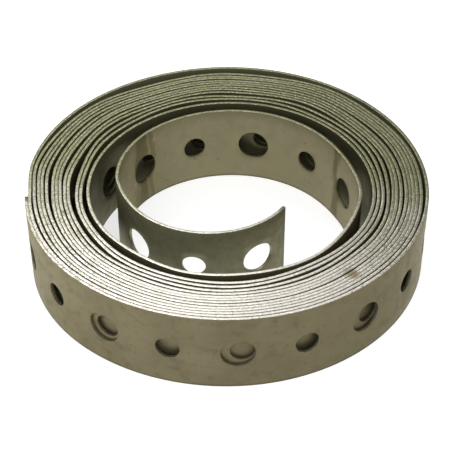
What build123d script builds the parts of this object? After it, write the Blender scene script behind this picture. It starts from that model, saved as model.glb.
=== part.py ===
"""Punched steel hanger strap, wound on edge into a flat roll.

One length of thin strap lies on its edge and is wound clockwise, seen from above, from a springy free
inner end to an outer end that the last turn leaves on the left side. Its centre line is one chain of
arcs, each tangent to the next: a few bends for the loose inner end, then quarter turns whose radius
grows by a quarter of the turn pitch. The first of them settle against the loose end, and the last
turn has sprung open in places and is pressed shut in others.
Large and small round holes alternate along the strap. They are punched at an even pitch before the
strap is wound, so those of one turn fall out of step with those of the next.

Millimetres, +Z up. The origin is under the middle of the roll, on the plane that it lies on.
"""
from build123d import *
import math
import os

# The strap: 24 gauge steel, three quarters of an inch wide, in a nominal ten foot roll that runs long
strap_width = 19.05
strap_thickness = 0.70
strap_length = 3273.4

# The holes along its middle, large and small in turn, the first one near the inner end
large_hole_diameter = 7.2
small_hole_diameter = 5.2
hole_pitch = 14.2875
first_hole_from_end = 7.9

# Holes show only near the strap's two ends. The turns between hide theirs, and stay unpunched here.
punched_turns = 2.2

# The winding: the bore of its close turns, the mean gap between them, and how much closer they lie at
# the front than at the back
bore_radius = 30.79
turn_gap = 0.282
gap_skew = 0.324

# The free inner end, from its tip to where it joins the close turns: the radius of each bend as a
# share of the bore radius, and the angle that it turns through. The two tight ones are creases.
loose_bends = (
    (0.621, 48.9),
    (0.644, 65.6),
    (0.878, 19.6),
    (0.225, 11.3),
    (0.738, 49.3),
    (0.864, 47.5),
    (0.844, 49.7),
    (1.171, 26.1),
    (0.439, 18.2),
    (0.992, 47.6),
    (1.072, 42.0),
    (0.760, 31.3),
)

# Where single eighths of a turn bend less or more than the even winding does: the change of their
# radius as a share of the bore radius, for the first four eighths and for the eight of the last turn
first_eighths = (-0.036, -0.009, -0.006, -0.011)
last_eighths = (0.003, -0.017, 0.005, 0.025, -0.034, 0.016, 0.047, -0.120)

turn_pitch = strap_thickness + turn_gap
tightest_gap = turn_gap - gap_skew * turn_pitch / math.sqrt(2)


def wound_radius(quarter):
    """Centre line radius of one quarter turn of the close winding, counted from its start.

    Between the front and the left, and between the right and the front, the radius grows by more than
    at the other two joints, so the turns lie closer at the front than at the back.
    """
    full_turns, rest = divmod(quarter, 4)
    growth = (1 + gap_skew, 1 - gap_skew, 1 - gap_skew, 1 + gap_skew)
    return bore_radius + turn_pitch * (full_turns + sum(growth[: rest + 1]) / 4)


def stretches():
    """The whole centre line as (radius, angle in degrees), from the inner tip until the strap is used up."""
    arcs = [(share * bore_radius, angle) for share, angle in loose_bends]
    left = strap_length - sum(radius * math.radians(angle) for radius, angle in arcs)
    eighth = 0
    last_turn = None
    while left > strap_thickness:
        radius = wound_radius(eighth // 2)
        if eighth % 8 == 1 and last_turn is None and left < 2 * math.pi * (radius + turn_pitch):
            last_turn = eighth
        if eighth < len(first_eighths):
            radius += first_eighths[eighth] * bore_radius
        elif last_turn is not None and eighth - last_turn < len(last_eighths):
            radius += last_eighths[eighth - last_turn] * bore_radius
        angle = min(45.0, math.degrees(left / radius))
        left -= radius * math.radians(angle)
        if arcs[-1][0] == radius:
            arcs[-1] = (radius, arcs[-1][1] + angle)
        else:
            arcs.append((radius, angle))
        eighth += 1
    return arcs


def centre_line():
    """Each arc as (centre, radius, start direction, angle), where the close winding starts at the front left."""
    direction = math.radians(225 + sum(angle for _, angle in loose_bends))
    tip = Vector(0, 0)
    placed = []
    for radius, angle in stretches():
        outward = Vector(math.cos(direction), math.sin(direction))
        centre = tip - outward * radius
        placed.append((centre, radius, direction, math.radians(angle)))
        direction -= math.radians(angle)
        tip = centre + Vector(math.cos(direction), math.sin(direction)) * radius
    return placed


def strap_blank(line):
    """The wound strap without its holes: the outline of its thickness, extruded by its width."""
    def side(offset):
        return [
            CenterArc(
                (centre.X, centre.Y),
                radius + offset,
                math.degrees(direction),
                -math.degrees(angle),
            )
            for centre, radius, direction, angle in line
        ]

    outer = side(strap_thickness / 2)
    inner = side(-strap_thickness / 2)
    tip = Line(inner[0] @ 0, outer[0] @ 0)
    tail = Line(outer[-1] @ 1, inner[-1] @ 1)
    return extrude(make_face(outer + [tail] + inner + [tip]), strap_width)


def hole_places(line):
    """Each punched hole as (point on the centre line, outward direction, diameter, arc centre, arc radius)."""
    hidden_from = line[0][2] - math.tau * punched_turns
    hidden_to = line[-1][2] - line[-1][3] + math.tau * punched_turns
    last_hole_at = strap_length - first_hole_from_end
    diameters = (large_hole_diameter, small_hole_diameter)
    places = []
    index = 0
    at = first_hole_from_end
    arc_start = 0.0
    for centre, radius, start_direction, angle in line:
        arc_end = arc_start + radius * angle
        while at < min(arc_end, last_hole_at):
            direction = start_direction - (at - arc_start) / radius
            if direction > hidden_from or direction < hidden_to:
                outward = Vector(math.cos(direction), math.sin(direction))
                point = centre + outward * radius + Vector(0, 0, strap_width / 2)
                places.append((point, outward, diameters[index % 2], centre, radius))
            index += 1
            at += hole_pitch
        arc_start = arc_end
    return places


def punch(point, outward, diameter, centre, radius):
    """The slug of one hole, curved like the strap, so that the punch stays clear of the turns beside it."""
    reach = strap_thickness / 2 + tightest_gap / 2
    drill = Plane(origin=point, z_dir=outward) * Cylinder(diameter / 2, diameter)
    disc_at = Location((centre.X, centre.Y, strap_width / 2))
    within = disc_at * Cylinder(radius + reach, strap_width)
    beyond = disc_at * Cylinder(radius - reach, strap_width)
    return (drill & within) - beyond


def punched_strap():
    line = centre_line()
    slugs = [punch(*place) for place in hole_places(line)]
    return strap_blank(line).cut(*slugs)


strap = punched_strap()
box = strap.bounding_box()
to_origin = Vector(-box.center().X, -box.center().Y, -box.min.Z)
strap = Pos(to_origin) * strap

os.makedirs("parts", exist_ok=True)
export_step(strap, "parts/strap.step")
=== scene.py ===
# %% [markdown]
# # A roll of punched hanger strap
#
# The object is one long strip of thin galvanised steel with a row of round holes, wound on its edge
# into a flat roll. Plumbers cut lengths from it to hang pipes. It rests on the floor on the lower
# edges of all its turns, and its free inner end curls loosely into the eye of the roll.
#
# The CAD model gives the frame: where the strap runs, how wide and thick it is, and the box that it
# fills. Blender gives the looks. The holes could be cut out of a wound sheet one by one, but each cut
# would leave ragged faces. So this script works out the line that the strap follows, makes the strap
# flat with all its holes, and then bends it along that line. Lengths are in millimetres until then.

# %% The frame and the tools
import math
import bpy
import numpy as np
from mathutils import Matrix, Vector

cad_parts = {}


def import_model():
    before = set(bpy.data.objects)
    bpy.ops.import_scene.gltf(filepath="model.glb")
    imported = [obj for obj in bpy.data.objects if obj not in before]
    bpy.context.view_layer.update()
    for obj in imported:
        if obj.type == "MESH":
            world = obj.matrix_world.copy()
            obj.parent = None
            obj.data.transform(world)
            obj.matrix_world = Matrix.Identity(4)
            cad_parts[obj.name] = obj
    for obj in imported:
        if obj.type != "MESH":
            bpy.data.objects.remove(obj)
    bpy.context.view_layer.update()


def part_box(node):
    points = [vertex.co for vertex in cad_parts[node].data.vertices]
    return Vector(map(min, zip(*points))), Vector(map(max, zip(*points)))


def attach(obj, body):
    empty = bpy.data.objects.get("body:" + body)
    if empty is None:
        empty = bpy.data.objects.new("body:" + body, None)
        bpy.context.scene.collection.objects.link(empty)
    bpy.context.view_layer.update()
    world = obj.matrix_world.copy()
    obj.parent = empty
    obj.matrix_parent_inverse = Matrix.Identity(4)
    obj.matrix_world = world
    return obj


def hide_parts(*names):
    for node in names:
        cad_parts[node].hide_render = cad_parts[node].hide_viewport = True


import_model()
low, high = (np.array(corner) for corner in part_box("strap"))
PER_METRE = 1000            # millimetres
print("the strap's box in the CAD, mm", (low * PER_METRE).round(2), (high * PER_METRE).round(2))

# %% [markdown]
# ## The camera
#
# The photographer stood in front of the roll, a little to the left, and looked down on it at about
# 40 degrees from 30 cm away. A lens of 112 mm on a 36 mm sensor gives the same narrow view. A camera
# can be aimed by a constraint or by three angles. Here its own axes are written into its matrix as
# columns (right, up and backwards), because the lamps can then be aimed in the same way.

# %% Where the camera stands and looks
CAMERA_PLACE = (-0.016095, -0.237689, 0.21051)
LOOK_DOWN, TURN_RIGHT, ROLL_OVER = (math.radians(degrees) for degrees in (40.65, 3.767, -0.236))
forward = np.array([
    math.sin(TURN_RIGHT) * math.cos(LOOK_DOWN),
    math.cos(TURN_RIGHT) * math.cos(LOOK_DOWN),
    -math.sin(LOOK_DOWN),
])
level = np.array([math.cos(TURN_RIGHT), -math.sin(TURN_RIGHT), 0.0])
above = np.cross(level, forward)
right = math.cos(ROLL_OVER) * level + math.sin(ROLL_OVER) * above
upward = math.cos(ROLL_OVER) * above - math.sin(ROLL_OVER) * level
print("the camera looks down", round(math.degrees(LOOK_DOWN), 1), "degrees")

# %% [markdown]
# A wide lens from close by would show the same things, but the near side would swell and the far side
# shrink. The photograph's rims hardly do that, so the lens is long and stands well back.


# %% The camera
def standing(place, to_right, to_top, backward):
    """The matrix of a thing at a place: its own x, y and z axes are the first three columns."""
    rows = np.column_stack([to_right, to_top, backward, place]).tolist()
    return Matrix(rows + [[0.0, 0.0, 0.0, 1.0]])


lens = bpy.data.cameras.new("view")
lens.sensor_width = 36.0
lens.lens = 111.78
lens.clip_start, lens.clip_end = 0.01, 20.0
camera = bpy.data.objects.new("view", lens)
bpy.context.scene.collection.objects.link(camera)
camera.matrix_world = standing(CAMERA_PLACE, right, upward, -forward)
bpy.context.scene.camera = camera
print("its lens sees", round(math.degrees(lens.angle), 1), "degrees")

# %% [markdown]
# ## The line that the strap follows
#
# A wound strip never has a corner. Its middle line could be a drawn curve, but a chain of arcs that
# pass smoothly into each other needs only the radius and the angle of each arc, and lengths along it
# are exact. The free inner end has twelve bends of its own, two of them creases. After that come
# quarter turns which grow by a quarter of the pitch of the winding. Single eighths of the first and
# the last turn bend a bit less or more than that. These are the same sizes as the CAD's. The radii of
# the bends and the changes are shares of the bore's radius.

# %% The sizes of the strap
WIDTH, THICK, LENGTH = 19.05, 0.70, 3273.4
LARGE_HOLE, SMALL_HOLE, HOLE_PITCH, FIRST_HOLE = 7.2, 5.2, 14.2875, 7.9
BORE, GAP, SKEW = 30.79, 0.282, 0.324
LOOSE_BENDS = np.array([    # radius and degrees
    (0.621, 48.9), (0.644, 65.6), (0.878, 19.6), (0.225, 11.3), (0.738, 49.3), (0.864, 47.5),
    (0.844, 49.7), (1.171, 26.1), (0.439, 18.2), (0.992, 47.6), (1.072, 42.0), (0.760, 31.3),
])
FIRST_EIGHTHS = np.array([-0.036, -0.009, -0.006, -0.011])
LAST_EIGHTHS = np.array([0.003, -0.017, 0.005, 0.025, -0.034, 0.016, 0.047, -0.120])
TURN = THICK + GAP
loose_degrees = LOOSE_BENDS[:, 1].sum()
print("the loose end winds over", round(loose_degrees), "degrees")

# %% [markdown]
# The close winding could be given as a number of turns, but a shop sells the strap by its length. So
# the winding goes on, eighth by eighth, until the strap is used up.

# %% The close winding
ENOUGH = 240                # eighths of a turn, more than the strap can fill
EIGHTH = np.pi / 4


def before(values):
    """For each value the sum of all that come before it: the running sum less the value itself."""
    return np.cumsum(values) - values


def close_winding():
    """Radius and angle of each eighth of a turn of the close winding, until the strap is used up.

    The radius grows at every quarter by a quarter of the pitch, times one plus or minus the skew.
    """
    left = LENGTH - np.sum(LOOSE_BENDS[:, 0] * BORE * np.radians(LOOSE_BENDS[:, 1]))
    growth = np.array([1 + SKEW, 1 - SKEW, 1 - SKEW, 1 + SKEW]) / 4
    quarter = np.arange(ENOUGH) // 2
    radius = BORE + TURN * (quarter // 4 + np.cumsum(growth)[quarter % 4])
    in_last_turn = left - before(radius * EIGHTH) < 2 * np.pi * (radius + TURN)
    last = int(np.argmax(in_last_turn & (np.arange(ENOUGH) % 8 == 1)))
    radius[:len(FIRST_EIGHTHS)] += FIRST_EIGHTHS * BORE
    radius[last:last + len(LAST_EIGHTHS)] += LAST_EIGHTHS * BORE
    angle = np.minimum(EIGHTH, (left - before(radius * EIGHTH)) / radius)
    return radius[angle > 0], angle[angle > 0]


close_radius, close_angle = close_winding()
turns = close_angle.sum() / (2 * math.pi)
print("close turns", round(float(turns), 2))

# %% [markdown]
# Each arc starts where the one before ends, and shares its direction there. So the centre moves along
# that direction by the difference of the two radii, and one running sum gives all the centres. The
# strap is wound clockwise, seen from above, so the direction falls.

# %% The chain of arcs
CLOSE_FROM = 225            # degrees: the close winding starts at the front left
arc_radius = np.append(LOOSE_BENDS[:, 0] * BORE, close_radius)
arc_angle = np.append(np.radians(LOOSE_BENDS[:, 1]), close_angle)
arc_start = before(arc_radius * arc_angle)
first_direction = math.radians(CLOSE_FROM + loose_degrees)
arc_direction = first_direction - before(arc_angle)


def circle(direction):
    """Points of the unit circle in these directions: cosine and sine."""
    return np.stack([np.cos(direction), np.sin(direction)], axis=-1)


steps = (arc_radius[:-1] - arc_radius[1:])[:, None] * circle(arc_direction[1:])
arc_centre = np.vstack([np.zeros(2), np.cumsum(steps, axis=0)])
print("arcs", len(arc_radius))

# %% [markdown]
# Any point can now be placed by its length along the strap and its distance outwards. The line itself
# has no set place yet. The CAD puts the middle of the strap's box over the origin, so the box of many
# points on both faces is found first, and the line is moved by the difference.


# %% Anywhere on the strap
def arc_with(starts, value):
    """The number of the arc that holds a value: the last one whose start isn't past it."""
    return np.clip(np.searchsorted(starts, value, side="right") - 1, 0, len(starts) - 1)


def on_line(along, outward_by):
    """The place on the plan of a point of the strap, and its outward direction.

    The place is the centre of the arc that it falls on, plus the direction turned by the length run
    since the arc's start over its radius, times the radius and the distance outwards. Arrays are
    taken as a whole.
    """
    arc = arc_with(arc_start, along)
    direction = arc_direction[arc] - (along - arc_start[arc]) / arc_radius[arc]
    outward = circle(direction)
    return arc_centre[arc] + outward * (arc_radius[arc] + outward_by)[..., None], outward


def both_faces(samples=60001):
    """Places on the strap's two faces: half the thickness outwards and inwards of the line."""
    along = np.linspace(0, LENGTH, samples)
    return np.vstack([on_line(along, THICK / 2)[0], on_line(along, -THICK / 2)[0]])


loose_faces = both_faces()
cad_middle = (low[:2] + high[:2]) / 2 * PER_METRE
arc_centre = arc_centre + cad_middle - (loose_faces.min(0) + loose_faces.max(0)) / 2
off_box = np.abs(both_faces().min(0) - low[:2] * PER_METRE).max()
print("the line's box against the CAD's, mm", off_box.round(3))

# %% [markdown]
# ## How the real winding wavers
#
# A hand wound roll isn't a perfect spiral. Where one turn lies close on the next, another leaves a
# wide dark gap, and both change places on the way round. Random waves could show this, but the turns
# would then run through each other or out of the roll. The whole thickness of the winding stays the
# same, so only the room between the turns is shared out anew in each direction. The gaps to aim at
# are written down for the left, the back, the right and the front, turn by turn, and the ones between
# are read off that row. Then they are scaled so that their sum is the room that there is, and a turn
# is pushed out by what all the gaps inside it have gained.

# %% The gaps to aim at
STEPS = 1440                # directions in one turn
CLOSED = 0.015              # mm between turns that lie close
LEFT_GAPS = (0.83, 0.13, 0.83, 0.13, 0.33, 0.07, 0.07, 0.48, 0.24, 0.07, 0.24, 0.29, 0.02)
BACK_GAPS = (0.80, 0.60, 0.58, 0.22, 0.30, 0.12, 0.26, 0.10, 0.22, 0.12, 0.20, 1.70)
RIGHT_GAPS = (0.26, 0.48, 0.63, 0.46, 0.03, 0.23, 0.48, 0.23, 0.03, 0.08, 0.20, 0.60)
FRONT_GAPS = (0.44, 0.50, 0.44, 0.12, 0.06, 0.03, 0.16, 0.03, 0.10, 0.03, 0.15, 0.05)
by_side = np.array([LEFT_GAPS[:-1], BACK_GAPS, RIGHT_GAPS, FRONT_GAPS]).T.ravel()
by_side = np.append(by_side, LEFT_GAPS[-1])
first_side = math.radians(45)   # the angle wound from the front left to the left
WAVES = ((0.28, 3.37, 0.6), (0.22, 8.83, 2.1))  # height, waves in a radian, and shift
print("gaps aimed at", len(by_side), "over", (len(by_side) - 1) / 4, "turns")

# %% [markdown]
# Straight blends from one side to the next would show a kink in every turn. A soft S has no kink,
# because it starts and ends level.


# %% Curves to blend with
def smooth_step(value):
    """0 below 0 and 1 above 1, with a soft S between."""
    value = np.clip(value, 0, 1)
    return value * value * (3 - 2 * value)


def hill(value, middle, width):
    """A bell curve: 1 at the middle, and close to 0 beyond two widths."""
    return np.exp(-((value - middle) / width) ** 2)


def aimed_gap(angle):
    """The gap to aim at for the angle wound so far: from one side to the next along a soft S.

    It is multiplied by one plus two short waves, so that no gap keeps its width for long.
    """
    number = np.clip((angle - first_side) / (math.pi / 2), 0, len(by_side) - 1.001)
    first = number.astype(int)
    share = smooth_step(number - first)
    even = by_side[first] * (1 - share) + by_side[first + 1] * share
    return even * (1 + sum(height * np.sin(rate * angle + shift) for height, rate, shift in WAVES))


at_front = first_side + 1.5 * math.pi
print("the first gap in front, mm", aimed_gap(np.array([at_front]))[0].round(2))

# %% [markdown]
# The first turn is pressed in at the front, and the loose end, which runs just inside it, bulges out
# at the front right and draws in at the front left. More arcs could do this, but each would move all
# the strap behind it. Bell curves over the angle wound move one place only.

# %% The pressed in first turn
NUDGES = (                  # angle wound and width in degrees, and mm outwards
    (-77, 20, 0.9),
    (-98, 40, 0.55),
    (-5, 27, -1.45),
    (286, 26, -1.38),
    (335, 32, -1.05),
)


def nudge(angle):
    """How far the strap is pushed outwards at its loose end and first turn: the sum of the bells."""
    return sum(size * hill(np.degrees(angle), at, width) for at, width, size in NUDGES)


print("places nudged", len(NUDGES))

# %% [markdown]
# Before the gaps can be shared out anew, those of the even winding are measured: at each angle wound,
# how far the strap lies from itself one turn further on, less its thickness.

# %% The gaps of the even winding
turn_count = int(np.ceil(turns))
wound = np.arange(turn_count * STEPS + 1) * (2 * math.pi / STEPS)
arc_wound = before(arc_angle) - math.radians(loose_degrees)
arc_there = arc_with(arc_wound, wound + 1e-9)
along_wound = arc_start[arc_there] + (wound - arc_wound[arc_there]) * arc_radius[arc_there]
seat, outward_there = on_line(np.minimum(along_wound, LENGTH), 0.0)
gap_count = int((turns - 1) * STEPS)
cad_gap = ((seat[STEPS:] - seat[:-STEPS]) * outward_there[:-STEPS]).sum(1)[:gap_count] - THICK
inside = wound[:gap_count]
print("gaps of the even winding, mm", cad_gap.min().round(3), "to", cad_gap.max().round(3))

# %% [markdown]
# In each direction the room to share is the sum of these gaps, less a hair for each pair of turns that
# may touch, and less what the nudges take. The aimed gaps are summed up in the same direction, to be
# set against it.


# %% The room to share in each direction
def by_turns(values):
    """Lays a long row of values out as one row for each turn, filled up with noughts."""
    rows = -(-gap_count // STEPS)
    return np.pad(values, (0, rows * STEPS - len(values))).reshape(rows, STEPS)


# Over the first radian the sharing eases in, and there the nudged turns set the gap.
ease_in = smooth_step(inside)
drawn_in = (1 - ease_in) * (nudge(inside + 2 * math.pi) - nudge(inside))
first_turn = nudge(wound[:STEPS])
spare = by_turns(ease_in * (cad_gap - CLOSED) - drawn_in).sum(0) - first_turn
asked = by_turns(ease_in * aimed_gap(inside)).sum(0)
print("spare room, mm", spare.min().round(2), "to", spare.max().round(2))

# %% [markdown]
# Past the strap's outer end the turn below it is the outermost. It has to stay where the sharing put
# it under the end, and bulges a little beyond it, so that the end lies snug on it.

# %% The bulge beyond the outer end
SNUG_FOR = 75               # degrees past the end until nothing of the snug seat is left
BULGE = 0.58                # mm
BULGE_RISES, BULGE_HOLDS, BULGE_FALLS = 14, 25, 60  # degrees: in so many, until there, in so many
end_column = gap_count % STEPS
seat_there = spare[end_column - 1] / asked[end_column - 1] * aimed_gap(inside[-1:])[0]
snug = cad_gap[-1] - CLOSED - seat_there
past_end = np.maximum(np.arange(STEPS) - end_column, 0) * (360 / STEPS)
settled = snug * (1 - smooth_step(past_end / SNUG_FOR))
falls = smooth_step((past_end - BULGE_HOLDS) / BULGE_FALLS)
bulge = BULGE * smooth_step(past_end / BULGE_RISES) * (1 - falls)
room = spare + np.where(np.arange(STEPS) >= end_column, settled + bulge, 0.0)
print("room to share, mm", room.min().round(2), "to", room.max().round(2), "snug by", snug.round(2))

# %% [markdown]
# Each aimed gap is scaled by the room over what was asked. What it gains against the even winding
# pushes all turns outside it, so the push on a turn is a running sum from the bore outwards.

# %% The push on every turn
scale = np.tile(room / asked, turn_count)[:gap_count]
print("aimed gaps are scaled by", scale.min().round(2), "to", scale.max().round(2))
gained = ease_in * (CLOSED + scale * aimed_gap(inside) - cad_gap) + drawn_in
pushed = first_turn + np.vstack([np.zeros(STEPS), np.cumsum(by_turns(gained), axis=0)])
pushed = pushed.ravel()[:int(turns * STEPS)]
loose_wound = np.arange(-2 * STEPS, 0) * (2 * math.pi / STEPS)
push_at = np.append(loose_wound, wound[:len(pushed)])
push_by = np.append(nudge(loose_wound), pushed)
print("turns pushed by", pushed.min().round(3), "to", pushed.max().round(3), "mm")


def waver(along):
    """How far the strap is pushed outwards at a length along it: read off the table of pushes."""
    arc = arc_with(arc_start, along)
    angle = arc_wound[arc] + (along - arc_start[arc]) / arc_radius[arc]
    return np.interp(angle, push_at, push_by)


# %% [markdown]
# ## One cell of the flat strap
#
# The strap is easiest to make flat, because all its cells are alike: a rectangle of sheet with one
# hole in its middle. A net of lines runs from the hole's edge to the cell's border, like the threads
# of a spider's web, so the hole is round and the border is straight. A cutter would give the same
# outline but long thin faces, which shade badly once they are bent.

# %% The holes and their cells
hole_count = int((LENGTH - 2 * FIRST_HOLE) / HOLE_PITCH + 0.01) + 1
hole_at = FIRST_HOLE + HOLE_PITCH * np.arange(hole_count)
hole_radius = np.where(np.arange(hole_count) % 2 == 0, LARGE_HOLE, SMALL_HOLE) / 2
hole_middle = np.stack([hole_at, np.zeros(hole_count)], axis=1)[:, None]
cell_from = np.append(0.0, hole_at[1:] - HOLE_PITCH / 2)
cell_to = np.append(hole_at[:-1] + HOLE_PITCH / 2, LENGTH)
print("holes", hole_count, "the last one", (LENGTH - hole_at[-1]).round(2), "mm from the end")

# %% [markdown]
# The sheet was slit and punched by sharp tools, so its corners are nearly square. They are eased by a
# few hundredths of a millimetre, enough to catch a thin line of light. A bevel modifier would ease
# them too, but it would have to find them again on each of the 229 cells.

# %% The border and the profiles
ACROSS, UPRIGHT = 8, 8      # threads to each side of the border
corner_along = np.linspace(-1, 1, ACROSS + 1)
corner_up = np.linspace(-1, 1, UPRIGHT + 1)
border = np.vstack([        # anticlockwise from the lower right corner, in halves of the cell
    np.stack([np.ones(UPRIGHT), corner_up[:-1]], axis=1),
    np.stack([corner_along[:0:-1], np.ones(ACROSS)], axis=1),
    np.stack([-np.ones(UPRIGHT), corner_up[:0:-1]], axis=1),
    np.stack([corner_along[:-1], -np.ones(ACROSS)], axis=1),
])
SHARES = np.array([0.0, 0.22, 0.55, 1.0])   # of the way from the hole's edge to the border
# The hole's wall and the rims: (outwards across the thickness, past the cut into the open), mm
WALL = np.array([(0.35, -0.04), (0.335, -0.01), (0.30, 0.0), (-0.31, 0.0), (-0.35, -0.05)])
RIM = np.array([
    (0.35, -0.04), (0.34, -0.01), (0.31, 0.0), (-0.31, 0.0), (-0.34, -0.01), (-0.35, -0.04),
])
half_up = WIDTH / 2 + RIM[0, 1]
print("threads in each cell", len(border))

# %% [markdown]
# A loop could build one cell after another, but all cells have the same net and differ only in four
# numbers: the hole's place and radius and the two ends of the cell. So numpy lays out all of them
# at once, with one axis of the array for the cells.


# %% The nets of all cells at once
def net(ease):
    """Flat places (along, up) of all cells' nets: cells x rings x threads x 2.

    A point lies on the straight line from the hole's edge to the border, at the ring's share of
    the way. The hole's edge is taken at the angle at which the border point is seen from its
    middle, wider than the hole by the ease.
    """
    along = np.where(border[None, :, 0] > 0,
                     border[None, :, 0] * (cell_to - hole_at)[:, None],
                     border[None, :, 0] * (hole_at - cell_from)[:, None])
    outer = np.stack([along, np.broadcast_to(border[:, 1] * half_up, along.shape)], axis=2)
    unit = outer / np.linalg.norm(outer, axis=2, keepdims=True)
    inner = unit * (hole_radius[:, None, None] + ease)
    share = SHARES[None, :, None, None]
    return hole_middle[:, None] + inner[:, None] * (1 - share) + outer[:, None] * share


outer_net = net(-WALL[0, 1])
inner_net = net(-WALL[-1, 1])
hole_unit = outer_net[:, 0] - hole_middle
hole_unit = hole_unit / np.linalg.norm(hole_unit, axis=2, keepdims=True)
print("points on each face", outer_net.shape[0] * outer_net.shape[1] * outer_net.shape[2])

# %% [markdown]
# ## From patches to one closed surface
#
# Every patch is a grid of points, and a grid is easily made into quads: point, next, next of the row
# above, above. Each patch could stay a mesh of its own, but light would leak through their seams. The
# cells share their border points, so these can be welded into one closed skin.

# %% Grids of quads
patches = []                # points, quads, and how far each patch is sheared metal
FACE, PUNCHED, SHEARED = 0.0, 0.25, 1.0


def flat_point(along, up, out):
    """Joins three arrays into points (along the strap, up, outwards)."""
    return np.stack(np.broadcast_arrays(along, up, out), axis=-1)


def add_grids(grid, flip, how_sheared, closed=False):
    """Adds many grids: count x rows x columns x 3. A closed one joins its last column to its first.

    A quad's corners are the point, the next one in its row, and the same two in the next row. It
    faces the other way if it is flipped, which takes its corners backwards.
    """
    count, rows, columns, _ = grid.shape
    number = np.arange(count * rows * columns).reshape(count, rows, columns)
    if closed:
        number = np.concatenate([number, number[:, :, :1]], axis=2)
    corners = (number[:, :-1, :-1], number[:, :-1, 1:], number[:, 1:, 1:], number[:, 1:, :-1])
    quad = np.stack(corners, axis=-1).reshape(-1, 4)
    patches.append((grid.reshape(-1, 3), quad[:, ::-1] if flip else quad, how_sheared))


# The two faces. Rings run from the hole outwards and threads anticlockwise, seen from outside.
add_grids(flat_point(*np.moveaxis(outer_net, -1, 0), THICK / 2), False, FACE, closed=True)
add_grids(flat_point(*np.moveaxis(inner_net, -1, 0), -THICK / 2), True, FACE, closed=True)
print("quads on the two faces", sum(len(quad) for _, quad, _ in patches))

# %% [markdown]
# The walls of the holes and the rims are what makes the sheet read as metal of a real thickness. A
# solidify modifier would add them with one step straight across. As patches they follow the profiles.

# %% The walls of the holes and the rims
# The walls run from the outer face to the inner one, at the hole's radius less the profile's reach.
wall_radius = hole_radius[:, None, None] - WALL[None, :, None, 1]
wall_along = hole_at[:, None, None] + hole_unit[:, None, :, 0] * wall_radius
wall_up = hole_unit[:, None, :, 1] * wall_radius
add_grids(flat_point(wall_along, wall_up, WALL[None, :, None, 0]), True, PUNCHED, closed=True)

# The upper and lower rims follow the cells' borders.
top = outer_net[:, -1, UPRIGHT:UPRIGHT + ACROSS + 1, 0][:, None, :]
rim_up = WIDTH / 2 + RIM[None, :, None, 1]
rim_out = RIM[None, :, None, 0]
add_grids(flat_point(top, rim_up, rim_out), False, SHEARED)
add_grids(flat_point(top, -rim_up, rim_out), True, SHEARED)
print("quads with walls and rims", sum(len(quad) for _, quad, _ in patches))

# %% [markdown]
# The strap was cut off square at both ends. One big face would close an end, but its corners have to
# match the points of the faces and the rims. So pairs of points straight across the thickness are
# joined to a ladder of narrow quads, rims and all.

# %% The two ends
section_up = corner_up * half_up
rim_pair = np.stack([RIM[:3], RIM[:2:-1]], axis=1)
for end, at_start in ((0.0, True), (LENGTH, False)):
    straight = flat_point(end, section_up[:, None], np.array([[THICK / 2, -THICK / 2]]))
    add_grids(straight[None], not at_start, SHEARED)
    for side in (1, -1):
        across = flat_point(end, side * (WIDTH / 2 + rim_pair[..., 1]), rim_pair[..., 0])
        add_grids(across[None], at_start == (side < 0), SHEARED)
print("patches", len(patches))

# %% [markdown]
# Points are welded by rounding them to a hundredth of a micrometre and keeping one of each that are
# equal. Blender could merge them by distance, but this way no two points of a fine corner melt into
# one by mistake. In a closed skin every edge is shared by exactly two quads, so that is counted.

# %% Welding
WELD = 1e5                  # parts of a millimetre
offsets = before(np.array([len(spots) for spots, _, _ in patches]))
flat = np.vstack([spots for spots, _, _ in patches])
faces = np.vstack([quad + offset for (_, quad, _), offset in zip(patches, offsets)])
sheared = np.concatenate([np.full(len(quad), share) for _, quad, share in patches])
_, first_one, same_as = np.unique(np.rint(flat * WELD).astype(np.int64), axis=0,
                                  return_index=True, return_inverse=True)
flat = flat[first_one]
faces = same_as.reshape(-1)[faces]
edges = np.sort(np.stack([faces, np.roll(faces, -1, axis=1)], axis=-1).reshape(-1, 2), axis=1)
_, shared_by = np.unique(edges, axis=0, return_counts=True)
open_edges = int((shared_by != 2).sum())
print("points", len(flat), "quads", len(faces), "edges not shared by two quads", open_edges)

# %% [markdown]
# ## Bending it along the line
#
# A curve modifier could bend the strap, but it would stretch the sheet and turn the holes oval. Here
# every flat point (along, up, out) gets its place from the line: it gives the plan, pushed outwards
# by the wavering and by the point's own distance from the middle of the sheet, and "up" stays up. The
# upper rim dips by two slow waves multiplied, as slit edges do, so some turns stand a hair lower.

# %% The place of every point
DIP = 0.05                  # mm, the middle of the dips
DIP_WAVES = (19.0, 67.0)    # mm of strap in a radian of each wave
DIP_FROM, DIP_OVER = 7, 2   # mm above the middle of the strap
along, up, out = flat.T
plan, _ = on_line(along, out + waver(along))
slow = np.sin(along / DIP_WAVES[0]) * np.sin(along / DIP_WAVES[1] + 1.0)
dip = DIP * (1 + slow) * smooth_step((up - DIP_FROM) / DIP_OVER)
place = np.column_stack([plan, up + WIDTH / 2 - dip]) / PER_METRE
print("the upper rim dips by up to", dip.max().round(3), "mm")

# %% [markdown]
# Three things are kept on the mesh for the finish: the flat place of every corner, how far a face is
# sheared metal, and how near a point is to the outer face. So the finish can follow the strap along
# all its turns, which a pattern in space can't.

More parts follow.
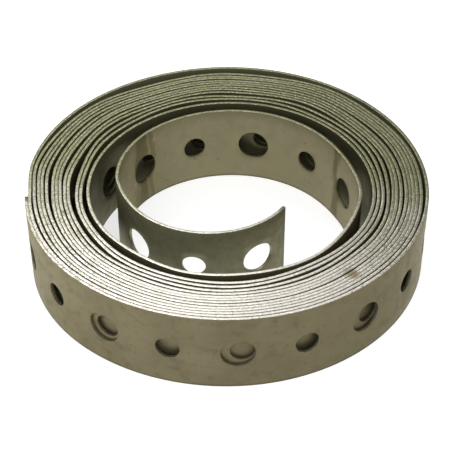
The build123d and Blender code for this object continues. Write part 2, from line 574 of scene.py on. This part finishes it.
# %% The wound strap
mesh = bpy.data.meshes.new("wound_strap")
mesh.vertices.add(len(place))
mesh.vertices.foreach_set("co", place.ravel().astype(np.float32))
mesh.loops.add(faces.size)
mesh.loops.foreach_set("vertex_index", faces.ravel().astype(np.int32))
mesh.polygons.add(len(faces))
mesh.polygons.foreach_set("loop_start", np.arange(0, faces.size, 4, dtype=np.int32))
mesh.polygons.foreach_set("use_smooth", np.ones(len(faces), bool))
uv = mesh.uv_layers.new(name="flat_strap")
flat_place = np.column_stack([along, up])[faces.ravel()] / PER_METRE
uv.data.foreach_set("uv", flat_place.ravel().astype(np.float32))
mark = mesh.attributes.new("sheared", "FLOAT", "FACE")
mark.data.foreach_set("value", sheared.astype(np.float32))
mark = mesh.attributes.new("outside", "FLOAT", "POINT")
mark.data.foreach_set("value", (out / THICK + 0.5).astype(np.float32))
mesh.update()
mesh.validate()
strap = bpy.data.objects.new("wound_strap", mesh)
bpy.context.scene.collection.objects.link(strap)
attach(strap, "root")
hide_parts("strap")
print("triangles", 2 * len(mesh.polygons))

# %% [markdown]
# ## Dull galvanised steel
#
# Zinc fresh from the bath is bright, but it dulls within weeks to a soft grey, here with a warm,
# olive cast. A photo of zinc could be laid on it, but a picture shows its seams and repeats. So the
# finish is reckoned from noise and from the place on the strap, with nodes. Every helper adds one
# node, so that the steps after them read like sums.


# %% Adding nodes
def start_nodes(owner):
    """Turns a material's or a world's nodes on, and makes it the one that the helpers work on."""
    global nodes, links
    owner.use_nodes = True
    nodes, links = owner.node_tree.nodes, owner.node_tree.links


def node(kind, **settings):
    """A new node with these settings."""
    made = nodes.new(kind)
    for name, value in settings.items():
        setattr(made, name, value)
    return made


def feed(socket, value):
    """Links a node's output to a socket, or writes a plain value on it."""
    if isinstance(value, bpy.types.NodeSocket):
        links.new(value, socket)
    else:
        socket.default_value = value


def parts_of(vector):
    """The X, Y and Z of a place."""
    made = node("ShaderNodeSeparateXYZ")
    feed(made.inputs[0], vector)
    return made.outputs


finish_of_strap = bpy.data.materials.new("dull_zinc")
start_nodes(finish_of_strap)
place_on = node("ShaderNodeTexCoord").outputs["Object"]
flat_on = node("ShaderNodeUVMap", uv_map="flat_strap").outputs["UV"]
is_sheared = node("ShaderNodeAttribute", attribute_name="sheared").outputs["Fac"]
is_outside = node("ShaderNodeAttribute", attribute_name="outside").outputs["Fac"]
at_length, at_height, _ = parts_of(flat_on)
at_x, at_y, _ = parts_of(place_on)
print("nodes so far", len(nodes))

# %% [markdown]
# Four patterns are made once and used many times, because a real blotch shows in the colour, the
# gloss and the relief alike. Clouds and streaks lie on the flat strap and are wound up with it.
# Blotches and grains are so fine that they can hang in space.


# %% The patterns
def noise(vector, scale, detail=3.0, roughness=0.55):
    """Soft noise around 0.5 with so many lumps in a unit, and finer ones in them by the detail."""
    made = node("ShaderNodeTexNoise")
    numbers = {"Scale": scale, "Detail": detail, "Roughness": roughness}
    for name, value in {"Vector": vector, **numbers}.items():
        feed(made.inputs[name], value)
    return made.outputs["Fac"]


def stretched(vector, along_by, up_by):
    """The place times one number along the strap and another one up it."""
    made = node("ShaderNodeMapping")
    feed(made.inputs["Vector"], vector)
    made.inputs["Scale"].default_value = (along_by, up_by, 1.0)
    return made.outputs["Vector"]


clouds = noise(flat_on, 75.0, 4.0)
mottle = noise(place_on, 420.0, 4.0, 0.65)
grains = noise(place_on, 2600.0, 2.0)
streaks = noise(stretched(flat_on, 45.0, 1900.0), 1.0, 4.0)
print("nodes so far", len(nodes))

# %% [markdown]
# A pattern becomes a mask when a narrow range of it is spread from none to all, and a mask says how
# much of a colour is mixed in. These helpers do that.


# %% Sums, masks and mixed colours
def reckon(how, first, second=0.0, clamp=False):
    """One sum with two values, such as ADD or MULTIPLY, held between 0 and 1 if it is clamped."""
    made = node("ShaderNodeMath", operation=how, use_clamp=clamp)
    feed(made.inputs[0], first)
    feed(made.inputs[1], second)
    return made.outputs[0]


def plus(first, second):
    """The first value plus the second."""
    return reckon("ADD", first, second)


def times(first, second):
    """The first value times the second."""
    return reckon("MULTIPLY", first, second)


def between(value, start, end, at_start=0.0, at_end=1.0):
    """Carries a value from start to end over to the other two values, and holds it at the ends."""
    made = node("ShaderNodeMapRange")
    numbers = {"From Min": start, "From Max": end, "To Min": at_start, "To Max": at_end}
    for name, number in {"Value": value, **numbers}.items():
        feed(made.inputs[name], number)
    return made.outputs["Result"]


def blend(share, first, second):
    """The first colour, mixed with this share of the second."""
    made = node("ShaderNodeMix", data_type="RGBA")
    for name, value in (("Factor", share), ("A", first), ("B", second)):
        feed(made.inputs[name], value)
    return made.outputs["Result"]


in_clouds = between(clouds, 0.35, 0.65)
print("nodes so far", len(nodes))

# %% [markdown]
# The faces are olive grey in slow clouds, with darker blotches and faint streaks that the rolling
# mill left along the strip. Near its tip the strap is greener and paler, and towards the right of the
# roll a painted shade makes it darker and browner. Colours here are red, green and blue, and lengths
# are metres along the strap.

# %% The colour of the faces, with painted shade to the right
ZINC_DARK, ZINC_LIGHT = (0.204, 0.175, 0.098, 1), (0.263, 0.233, 0.139, 1)
BLOTCH, STREAK = (0.125, 0.112, 0.066, 1), (0.28, 0.25, 0.165, 1)
TIP_COLOUR, RIGHT_SHADE = (0.41, 0.41, 0.27, 1), (0.128, 0.108, 0.056, 1)
face_colour = blend(in_clouds, ZINC_DARK, ZINC_LIGHT)
face_colour = blend(between(mottle, 0.52, 0.72, 0.0, 0.55), face_colour, BLOTCH)
face_colour = blend(between(streaks, 0.55, 0.75, 0.0, 0.22), face_colour, STREAK)
near_tip = times(between(at_length, 0.035, 0.075, 0.95, 0.0), between(mottle, 0.42, 0.60, 1.0, 0.68))
face_colour = blend(near_tip, face_colour, TIP_COLOUR)
# Painted shade: the faces turn darker and browner towards the right of the roll, where less light
# falls.
to_right = between(plus(at_x, times(clouds, 0.012)), -0.022, 0.046, 0.0, 0.72)
face_colour = blend(to_right, face_colour, RIGHT_SHADE)
print("nodes so far", len(nodes))

# %% [markdown]
# The inner side gets its own colours as painted light and shade. The loose end's inner side is
# painted lighter, as painted light, apart from a real brown stretch near its tip. That of the turns
# behind it is painted dark and greenish, as painted shade inside the winding, and that of the last
# turn a little lighter again. The colour of a real sheet can't jump, so each change is spread over
# some centimetres of strap.

# %% The inner side, with painted light and shade
INNER_TIP, INNER_LOOSE_LIT = (0.23, 0.205, 0.105, 1), (0.365, 0.335, 0.205, 1)
INNER_CLOSE_SHADE, INNER_LAST = (0.098, 0.103, 0.056, 1), (0.30, 0.315, 0.20, 1)
behind = between(at_length, 0.150, 0.190)
# Painted light and shade: the loose end's inner side is lighter and the close turns' inner side
# darker; the brown near the tip is a stain.
inner_stain_light_and_shade = blend(between(at_length, 0.062, 0.078, 1.0, 0.0), INNER_LOOSE_LIT, INNER_TIP)
inner_stain_light_and_shade = blend(behind, inner_stain_light_and_shade, INNER_CLOSE_SHADE)
inner_stain_light_and_shade = blend(between(at_length, 2.96, 3.02), inner_stain_light_and_shade, INNER_LAST)
inner_colour_and_shade = blend(0.62, face_colour, inner_stain_light_and_shade)
face_colour = blend(is_outside, inner_colour_and_shade, face_colour)
print("nodes so far", len(nodes))

# %% [markdown]
# Small pale and dark dots break up the faces, the pale ones only on the loose end, and a painted
# shade darkens the lower edge, where the roll meets the floor. A spray of real dots would need
# thousands of faces, so noise with a high threshold makes them.

# %% Dots and the painted shade along the lower edge
PALE_DOT, DARK_DOT, LOWER_EDGE_SHADE = (0.42, 0.40, 0.29, 1), (0.07, 0.065, 0.04, 1), (0.06, 0.055, 0.035, 1)
pale_share = times(reckon("SUBTRACT", 1.0, behind), 0.45)
pale_dots = times(between(noise(flat_on, 1100.0, 1.0), 0.69, 0.73), pale_share)
dark_dots = between(noise(flat_on, 760.0, 1.0), 0.28, 0.24, 0.0, 0.45)
# Painted shade: the faces darken towards their lower edge, where the roll meets the floor.
shaded_lower_edge = between(at_height, -0.0094, -0.0088, 0.6, 0.0)
for share, colour in ((pale_dots, PALE_DOT), (dark_dots, DARK_DOT), (shaded_lower_edge, LOWER_EDGE_SHADE)):
    face_colour = blend(share, face_colour, colour)
print("nodes so far", len(nodes))

# %% [markdown]
# The far side of the loose end has brown stains that run across the strap, where water has stood in
# it. Painting them on would need a picture. Here each is a band at its own length from the tip, with
# a border that wobbles by a few millimetres.

# %% The stains
STAIN = (0.105, 0.088, 0.032, 1)
STAINS = (                  # metres from the tip, half the width, and share
    (0.064, 0.0019, 0.80),
    (0.0675, 0.0009, 0.50),
    (0.1185, 0.0015, 0.78),
)
wobble = noise(stretched(flat_on, 300.0, 120.0), 1.0, 3.0)
wobble = times(reckon("SUBTRACT", wobble, 0.5), 0.006)
for from_the_tip, half_width, share in STAINS:
    off = reckon("ABSOLUTE", plus(reckon("SUBTRACT", at_length, from_the_tip), wobble))
    band = between(off, half_width * 0.5, half_width * 1.3, share, 0.0)
    face_colour = blend(band, face_colour, STAIN)
print("stains", len(STAINS))

# %% [markdown]
# The shears left the edges as bare metal, lighter than the faces. A painted highlight makes them
# nearly white at the front left, where they catch the light. Round the back and the right they are
# painted darker olive as painted shade, so a share grows with the place, from the front left to the
# back right. The noise is drawn out across the edge, as the shears' own marks are.

# %% The colour of the sheared edges, with painted highlight and shade
BRIGHT_EDGE_HIGHLIGHT, EDGE_HIGHLIGHT_SPECK = (0.86, 0.825, 0.765, 1), (0.56, 0.53, 0.435, 1)
DULL_EDGE_SHADE, EDGE_SHADE_SPECK = (0.330, 0.336, 0.190, 1), (0.108, 0.113, 0.055, 1)
edge_place = node("ShaderNodeCombineXYZ")
feed(edge_place.inputs[0], times(at_length, 1600.0))
feed(edge_place.inputs[1], times(is_outside, 1.7))
specks = noise(edge_place.outputs[0], 1.0, 5.0, 0.8)
edge_colour_and_highlight = blend(between(specks, 0.40, 0.62), BRIGHT_EDGE_HIGHLIGHT, EDGE_HIGHLIGHT_SPECK)
edge_shade_colour = blend(between(specks, 0.42, 0.58), DULL_EDGE_SHADE, EDGE_SHADE_SPECK)
# Painted highlight on the edges at the front left, fading into painted shade towards the back right.
toward_back = plus(plus(times(at_x, 0.15), at_y), times(clouds, 0.03))
edge_colour_and_highlight = blend(between(toward_back, -0.016, 0.018, 0.0, 0.94), edge_colour_and_highlight, edge_shade_colour)
print("nodes so far", len(nodes))

# %% [markdown]
# The edges are torn too. Nicks eat into their corners and here and there run right across, dark grit
# sits on them at the two sides, and one brown spot has come up at the front right. Cut into the mesh
# the nicks would cost many times its faces, so they are colour and a shallow bump.

# %% Nicks, grit and the brown spot
TORN, NICK, GRIT = (0.10, 0.095, 0.06, 1), (0.12, 0.11, 0.07, 1), (0.150, 0.145, 0.085, 1)
BROWN, BROWN_AT = (0.22, 0.16, 0.06, 1), (0.0231, -0.0320, 0.019)
nicks = noise(stretched(flat_on, 1500.0, 200.0), 1.0, 3.0, 0.7)
at_corner = times(reckon("ABSOLUTE", reckon("SUBTRACT", is_outside, 0.5)), 2.0)
torn = between(plus(at_corner, times(nicks, 0.9)), 1.37, 1.45, 0.0, 0.85)
at_sides = between(reckon("ABSOLUTE", at_x), 0.014, 0.034, 0.0, 0.80)
grit = times(between(grains, 0.52, 0.60), at_sides)
nicked = between(plus(nicks, times(at_corner, 0.05)), 0.65, 0.71, 0.0, 0.85)
off_spot = node("ShaderNodeVectorMath", operation="DISTANCE")
feed(off_spot.inputs[0], place_on)
off_spot.inputs[1].default_value = BROWN_AT
spot = between(plus(off_spot.outputs["Value"], times(mottle, 0.002)), 0.0018, 0.0032, 0.75, 0.0)
for share, colour in ((torn, TORN), (grit, GRIT), (nicked, NICK), (spot, BROWN)):
    edge_colour_and_highlight = blend(share, edge_colour_and_highlight, colour)
print("nodes so far", len(nodes))

# %% [markdown]
# The dull skin is half metal and half mineral, so the faces mirror little and stay light where no
# lamp is mirrored. The sheared edges show more of the bare metal and are a little smoother.

# %% The finish put together
shader = nodes["Principled BSDF"]
shader.inputs["Specular IOR Level"].default_value = 0.35
shader.inputs["Specular Tint"].default_value = (0.80, 0.77, 0.58, 1)
feed(shader.inputs["Base Color"], blend(is_sheared, face_colour, edge_colour_and_highlight))
feed(shader.inputs["Metallic"], between(is_sheared, 0.0, 1.0, 0.55, 0.85))
face_gloss = between(mottle, 0.3, 0.7, 0.36, 0.50)
feed(shader.inputs["Roughness"], plus(face_gloss, times(is_sheared, -0.07)))
bump = node("ShaderNodeBump")
feed(bump.inputs["Strength"], 0.38)
feed(bump.inputs["Distance"], 0.00006)
feed(bump.inputs["Height"], plus(times(grains, 0.5), times(plus(specks, nicks), is_sheared)))
feed(shader.inputs["Normal"], bump.outputs["Normal"])
mesh.materials.append(finish_of_strap)
print("nodes in the finish", len(nodes))

# %% [markdown]
# ## The floor and the light
#
# The photograph has a plain white ground. A floor of pure white would throw too much light up at the
# roll, and no floor would leave it without a shadow. So the floor is pale, and to the camera and to
# reflections it adds a little light of its own. It reads as white and still takes the shadow.

# %% The floor
PALE, GLOW = 0.80, 0.70
bpy.ops.mesh.primitive_plane_add(size=4.0, location=(0, 0, 0))
floor = bpy.context.active_object
floor.name = "floor"
ground = bpy.data.materials.new("white_ground")
start_nodes(ground)
nodes.remove(nodes["Principled BSDF"])
pale = node("ShaderNodeBsdfDiffuse")
pale.inputs["Color"].default_value = (PALE, PALE, PALE, 1)
rays = node("ShaderNodeLightPath").outputs
seen = reckon("ADD", rays["Is Camera Ray"], rays["Is Glossy Ray"], clamp=True)
seen = reckon("ADD", seen, rays["Is Transmission Ray"], clamp=True)
glow = node("ShaderNodeEmission")
feed(glow.inputs["Strength"], times(seen, GLOW))
together = node("ShaderNodeAddShader")
feed(together.inputs[0], pale.outputs[0])
feed(together.inputs[1], glow.outputs[0])
feed(nodes["Material Output"].inputs["Surface"], together.outputs[0])
floor.data.materials.append(ground)
print("the floor glows by", GLOW)

# %% [markdown]
# A bright even sky fills all shadows softly, as a light tent does. Two square soft boxes model the
# roll: a strong small one behind and above it, which brightens the edges, and a large weak one in
# front on the left. Bare bulbs would give hard shadows that the photograph doesn't have.

# %% The light
SKY, WHITE_TO_CAMERA = 0.55, 1.0
world = bpy.data.worlds.new("studio")
bpy.context.scene.world = world
start_nodes(world)
to_camera = node("ShaderNodeLightPath").outputs["Is Camera Ray"]
feed(nodes["Background"].inputs["Color"], (1.0, 1.0, 1.0, 1))
feed(nodes["Background"].inputs["Strength"], between(to_camera, 0.0, 1.0, SKY, WHITE_TO_CAMERA))


def soft_box(name, place, size, power):
    """A square lamp at a place, which looks at the middle of the roll, 2 cm above the floor.

    Its side points along the cross product of where it looks and up, so it stands level.
    """
    lamp = bpy.data.lights.new(name, "AREA")
    lamp.shape = "SQUARE"
    lamp.size = size
    lamp.energy = power
    holder = bpy.data.objects.new(name, lamp)
    bpy.context.scene.collection.objects.link(holder)
    towards = np.array((0.0, 0.0, 0.02)) - np.array(place)
    towards /= np.linalg.norm(towards)
    side = np.cross(towards, (0, 0, 1))
    side /= np.linalg.norm(side)
    holder.matrix_world = standing(place, side, np.cross(side, towards), -towards)


soft_box("back_light", (-0.174, 0.817, 0.996), 0.45, 3.0)
soft_box("front_light", (-0.35, -0.9, 0.9), 0.8, 2.0)
bpy.context.scene.view_settings.view_transform = "Standard"
print("lamps", len(bpy.data.lights))

# %% [markdown]
# ## The end of the scene

# %% The end
print("the scene is built")
